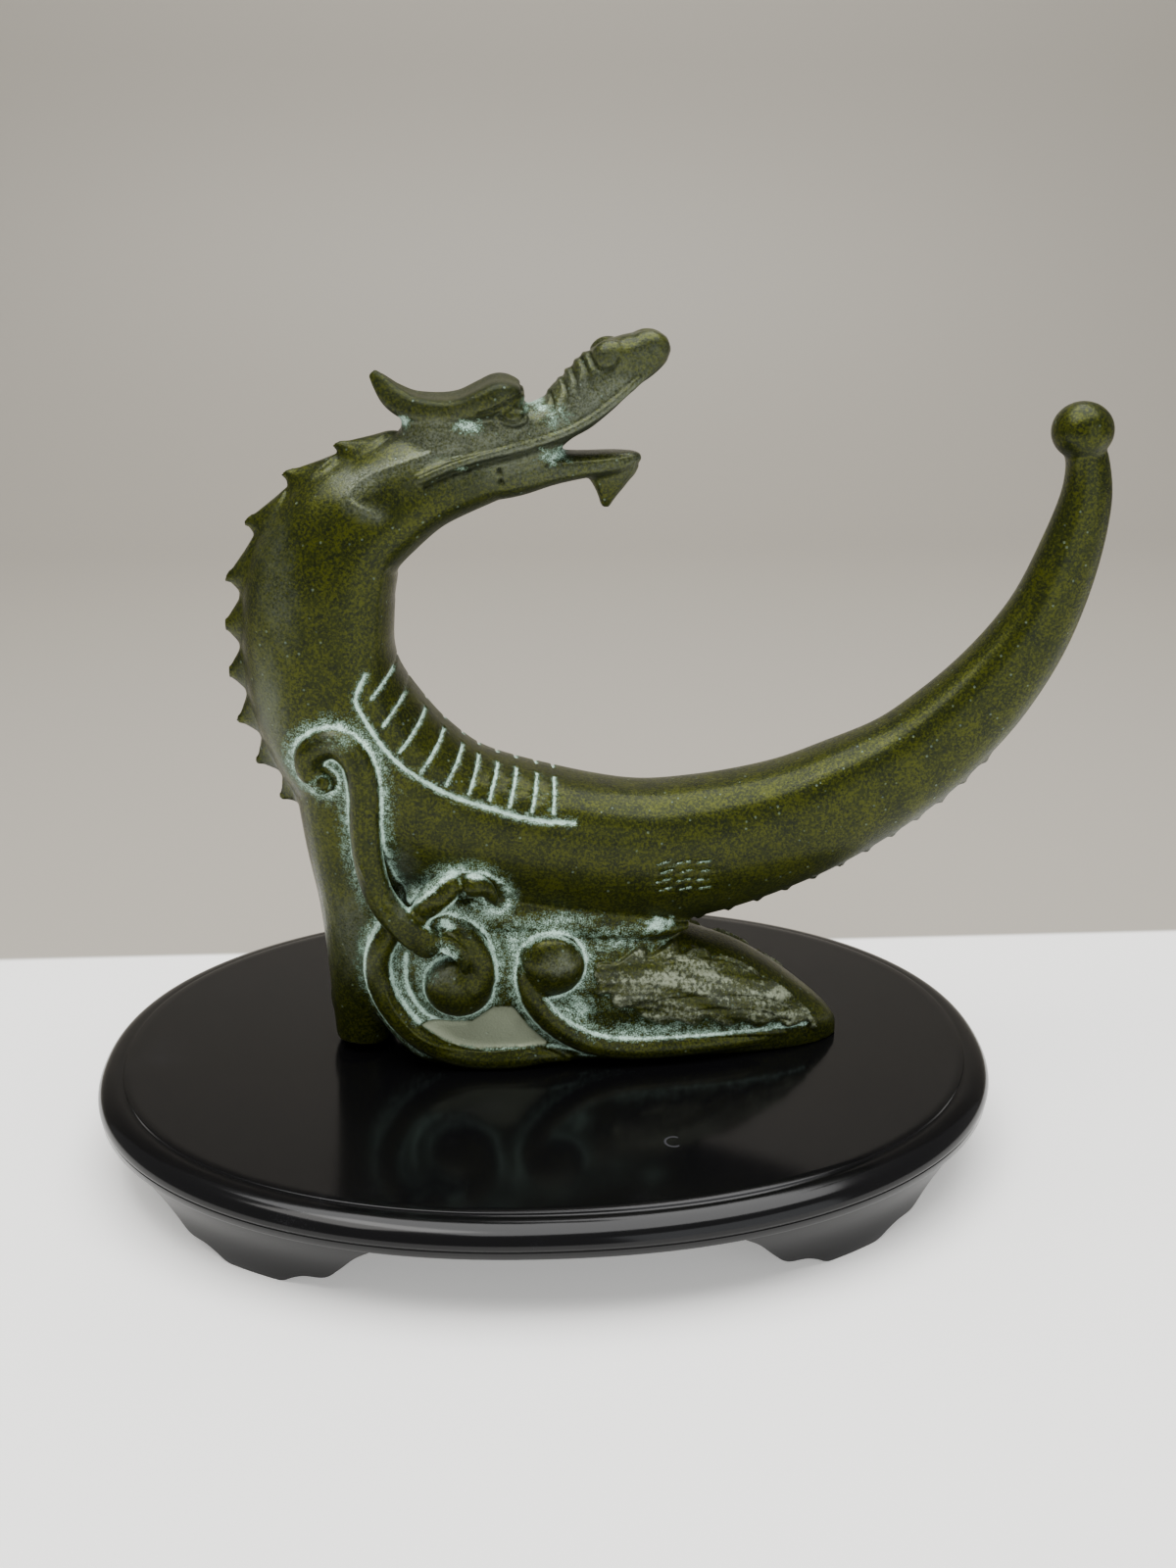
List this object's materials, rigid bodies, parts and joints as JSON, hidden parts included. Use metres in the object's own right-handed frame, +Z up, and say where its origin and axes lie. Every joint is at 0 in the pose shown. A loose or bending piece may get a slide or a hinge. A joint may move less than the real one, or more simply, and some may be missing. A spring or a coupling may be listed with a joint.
{
  "type": "dragon sculpture",
  "caption": "Crescent dragon with raised tail and open jaws, cast in patinated bronze, on a black oval stand with bracket feet.",
  "frame": {"origin": "centre of the whole footprint, on the surface that the feet stand on", "axes": "+X towards the raised tail along the stand's long side, -Y towards the front, +Z up"},
  "size_m": [0.4164, 0.2796, 0.3406],
  "materials": {
    "bronze": "mottled dark olive patina, waxed, with pale verdigris in the recesses",
    "lacquer": "black gloss lacquer"
  },
  "bodies": {
    "root": {"dragon": "bronze", "stand": "lacquer"}
  },
  "joints": []
}
